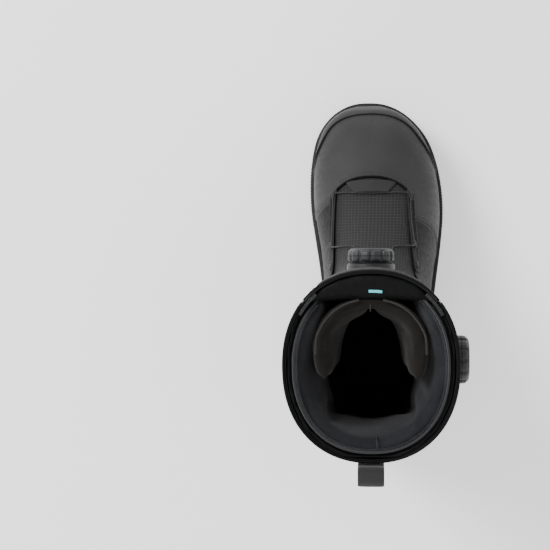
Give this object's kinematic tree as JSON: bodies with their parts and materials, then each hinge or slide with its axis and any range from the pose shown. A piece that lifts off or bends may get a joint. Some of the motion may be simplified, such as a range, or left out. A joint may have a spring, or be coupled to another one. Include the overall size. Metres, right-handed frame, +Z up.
{
  "type": "snowboard boot",
  "caption": "Right snowboard boot with a removable liner, lugged rubber sole with grip inserts, and dial cable closures on the tongue and the cuff's outer side",
  "frame": {"origin": "on the ground under the sole, at half its length, on the shaft's middle plane", "axes": "+Z up, -Y towards the toe, -X towards the lateral side of this right boot"},
  "size_m": [0.1399, 0.3113, 0.303],
  "materials": {
    "sole_rubber": "matte moulded rubber",
    "midsole_foam": "foam",
    "sidewall_rubber": "matte rubber",
    "grip_amber": "soft translucent rubber",
    "window_teal": "glossy gel",
    "arch_plastic": "satin moulded plastic",
    "board_fibre": "fibreboard",
    "shell_synthetic": "matte coated synthetic",
    "quarter_synthetic": "matte coated synthetic",
    "cuff_synthetic": "matte coated synthetic",
    "moulded_trim": "matte moulded plastic",
    "ripstop": "ripstop weave",
    "liner_knit": "knit lining",
    "liner_tongue_fabric": "brushed lining",
    "insole_fabric": "needled fabric",
    "webbing": "woven webbing",
    "cable_black": "coated steel cable",
    "dial_plastic": "satin plastic",
    "dial_grip": "soft rubber",
    "dial_base": "matte plastic",
    "spool_plastic": "acetal",
    "pawl_plastic": "acetal",
    "screw_steel": "zinc plated"
  },
  "bodies": {
    "foot": {"outsole_forefoot": "sole_rubber", "outsole_heel": "sole_rubber", "tread_centre": "sole_rubber", "tread_lateral": "sole_rubber", "tread_medial": "sole_rubber", "toe_bars": "sole_rubber", "tread_heel_centre": "sole_rubber", "tread_heel_lateral": "sole_rubber", "tread_heel_medial": "sole_rubber", "insert_forefoot_lateral": "grip_amber", "insert_forefoot_medial": "grip_amber", "insert_heel_lateral": "grip_amber", "insert_heel_medial": "grip_amber", "heel_window": "window_teal", "arch_plate": "arch_plastic", "midsole": "midsole_foam", "heel_cushion": "midsole_foam", "lasting_board": "board_fibre", "sidewall": "sidewall_rubber", "toe_bumper": "sidewall_rubber", "vamp": "shell_synthetic", "quarter_lateral": "quarter_synthetic", "quarter_medial": "quarter_synthetic", "heel_counter": "moulded_trim", "heel_cup": "moulded_trim", "eyestay_lateral": "cuff_synthetic", "eyestay_medial": "cuff_synthetic", "instep_tongue": "ripstop", "throat_guide": "moulded_trim", "lace_guides": "moulded_trim", "harness_lateral": "moulded_trim", "harness_medial": "moulded_trim", "liner_toe": "liner_knit", "liner_foot": "liner_knit", "liner_instep": "liner_tongue_fabric", "footbed": "insole_fabric", "instep_lace": "cable_black", "harness_cable": "cable_black"},
    "cuff": {"cuff_lateral": "cuff_synthetic", "cuff_medial": "cuff_synthetic", "backstay": "cuff_synthetic", "wing_lateral": "cuff_synthetic", "wing_medial": "cuff_synthetic", "liner_cuff": "liner_knit", "liner_tongue": "liner_tongue_fabric", "ankle_pads": "liner_knit", "side_dial_housing": "dial_base", "side_dial_screw": "screw_steel"},
    "tongue": {"upper_tongue": "cuff_synthetic", "tongue_dial_housing": "dial_base", "tongue_dial_screw": "screw_steel"},
    "tongue_carrier": {"tongue_dial_pawls": "pawl_plastic"},
    "tongue_knob": {"tongue_dial_knob": "dial_plastic", "tongue_dial_grip": "dial_grip"},
    "tongue_spool": {"tongue_dial_spool": "spool_plastic"},
    "side_carrier": {"side_dial_pawls": "pawl_plastic"},
    "side_knob": {"side_dial_knob": "dial_plastic", "side_dial_grip": "dial_grip"},
    "side_spool": {"side_dial_spool": "spool_plastic"},
    "loop": {"pull_loop": "webbing"}
  },
  "joints": [
    {"name": "cuff_flex", "type": "hinge", "parent": "foot", "child": "cuff", "pos_m": [0, 0.072, 0.116], "axis": [1, 0, 0], "range_deg": [0, 10], "stiffness_Nm_per_rad": 40, "deforming": ["instep_lace", "harness_cable"]},
    {"name": "tongue_fold", "type": "hinge", "parent": "cuff", "child": "tongue", "pos_m": [0, -0.0065, 0.161], "axis": [1, 0, 0], "range_deg": [0, 25], "deforming": ["instep_lace"]},
    {"name": "pull_loop_swing", "type": "hinge", "parent": "cuff", "child": "loop", "pos_m": [0, 0.1465, 0.2455], "axis": [-1, 0, 0], "range_deg": [0, 110]},
    {"name": "tongue_dial_release", "type": "slide", "parent": "tongue", "child": "tongue_carrier", "axis": [0, -1, 0], "range_m": [0, 0.003]},
    {"name": "tongue_dial_turn", "type": "hinge", "parent": "tongue_carrier", "child": "tongue_knob", "pos_m": [0, -0.0046, 0.186], "axis": [0, -1, 0], "continuous": true},
    {"name": "tongue_spool_turn", "type": "hinge", "parent": "tongue", "child": "tongue_spool", "pos_m": [0, -0.0046, 0.186], "axis": [0, -1, 0], "continuous": true},
    {"name": "side_dial_release", "type": "slide", "parent": "cuff", "child": "side_carrier", "axis": [-1, 0, 0], "range_m": [0, 0.003]},
    {"name": "side_dial_turn", "type": "hinge", "parent": "side_carrier", "child": "side_knob", "pos_m": [-0.0624, 0.069, 0.215], "axis": [-1, 0, 0], "continuous": true},
    {"name": "side_spool_turn", "type": "hinge", "parent": "cuff", "child": "side_spool", "pos_m": [-0.0624, 0.069, 0.215], "axis": [-1, 0, 0], "continuous": true}
  ],
  "couplings": [
    {"joint": "tongue_spool_turn", "follows": "tongue_dial_turn", "ratio": 1},
    {"joint": "side_spool_turn", "follows": "side_dial_turn", "ratio": 1}
  ]
}
